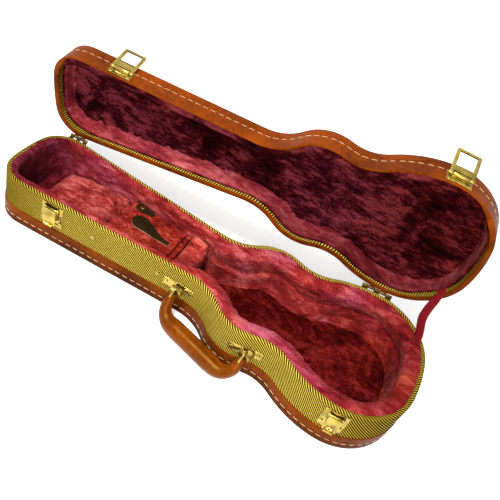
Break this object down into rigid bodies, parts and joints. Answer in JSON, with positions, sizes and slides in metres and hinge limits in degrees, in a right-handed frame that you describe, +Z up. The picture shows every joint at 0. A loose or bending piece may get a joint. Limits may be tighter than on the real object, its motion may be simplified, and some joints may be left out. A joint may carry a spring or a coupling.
{
  "type": "guitar case",
  "caption": "Small open figure-eight instrument case in tweed and leather with a plush lining, draw latches, a lock, a leather handle and a lined accessory compartment",
  "frame": {"origin": "on the resting face, on the tray's long axis of symmetry, halfway along it", "axes": "+X along the case towards the lower bout and tail, +Y from the latches towards the hinges, +Z up from the resting face"},
  "size_m": [0.6187, 0.2626, 0.3046],
  "materials": {
    "tweed": "diagonal twill weave",
    "binding_leather": "smooth brown with a pale stitch",
    "plywood": "bent ply",
    "plush": "short pile",
    "gold_plate": "polished, lightly worn",
    "lock_steel": "turned",
    "handle_leather": "waxed, creased",
    "core_steel": "mill",
    "dark_leather": "matt",
    "webbing": "ribbed"
  },
  "bodies": {
    "tray": {"tray_wall": "plywood", "tray_panel": "plywood", "tray_tweed": "tweed", "tray_binding": "binding_leather", "tray_back_cover": "tweed", "tray_wall_padding": "plush", "tray_floor_pad": "plush", "head_partition": "plush", "neck_partition": "plush", "compartment_ledge": "plush", "compartment_hinge_tape": "plush", "head_cushion": "plush", "neck_rest": "plush", "hinge_tray_leaves": "gold_plate", "hinge_pins": "gold_plate", "hinge_rivets": "gold_plate", "partition_rivets": "gold_plate", "latch_bases": "gold_plate", "latch_pins": "gold_plate", "latch_rivets": "gold_plate", "handle_brackets": "gold_plate", "handle_bracket_rivets": "gold_plate", "stay_strap": "webbing"},
    "lid": {"lid_wall": "plywood", "lid_panel": "plywood", "lid_binding": "binding_leather", "lid_inner_tweed": "tweed", "lid_top_cover": "tweed", "lid_wall_padding": "plush", "lid_top_padding": "plush", "hinge_lid_leaves": "gold_plate", "lid_latch_plates": "gold_plate", "lid_latch_rivets": "gold_plate", "lid_hinge_rivets": "gold_plate"},
    "handle": {"handle_grip": "handle_leather", "handle_core": "core_steel", "handle_links": "gold_plate"},
    "left_loop": {"left_latch_loop": "gold_plate"},
    "right_loop": {"right_latch_loop": "gold_plate"},
    "left_lever": {"left_latch_lever": "gold_plate"},
    "right_lever": {"right_latch_lever": "gold_plate"},
    "lock": {"lock_barrel": "lock_steel"},
    "compartment_lid": {"compartment_board": "plush", "compartment_pad": "plush", "compartment_tongue": "dark_leather", "compartment_keeper": "dark_leather", "keeper_stud": "gold_plate"}
  },
  "joints": [
    {"name": "lid_hinge", "type": "hinge", "parent": "tray", "child": "lid", "pos_m": [0.20701, 0.10804, 0.0722], "axis": [0.9963, 0.0863, 0], "range_deg": [0, 84], "deforming": ["stay_strap"]},
    {"name": "handle_swing", "type": "hinge", "parent": "tray", "child": "handle", "pos_m": [-0.01851, -0.05866, 0.045], "axis": [-0.9678, 0.2518, 0], "range_deg": [0, 125]},
    {"name": "left_loop_swing", "type": "hinge", "parent": "lid", "child": "left_loop", "pos_m": [-0.22041, 0.06882, 0.20973], "axis": [0.9961, 0.0831, 0.0304], "range_deg": [-3, 176.8]},
    {"name": "right_loop_swing", "type": "hinge", "parent": "lid", "child": "right_loop", "pos_m": [0.20842, 0.09741, 0.29081], "axis": [0.9963, 0.0865, -0.0017], "range_deg": [-8, 169.8]},
    {"name": "left_lever_swing", "type": "hinge", "parent": "tray", "child": "left_lever", "pos_m": [-0.20877, -0.06469, 0.0625], "axis": [-0.9984, -0.0558, 0], "range_deg": [0, 110]},
    {"name": "right_lever_swing", "type": "hinge", "parent": "tray", "child": "right_lever", "pos_m": [0.22637, -0.10883, 0.0625], "axis": [-0.996, -0.089, 0], "range_deg": [0, 110]},
    {"name": "lock_turn", "type": "hinge", "parent": "right_lever", "child": "lock", "pos_m": [0.22645, -0.10963, 0.0425], "axis": [0.089, -0.996, 0], "range_deg": [0, 90]},
    {"name": "compartment_hinge", "type": "hinge", "parent": "tray", "child": "compartment_lid", "pos_m": [-0.055, 0, 0.046], "axis": [0, -1, 0], "range_deg": [-85, 0], "deforming": ["compartment_hinge_tape"]}
  ]
}
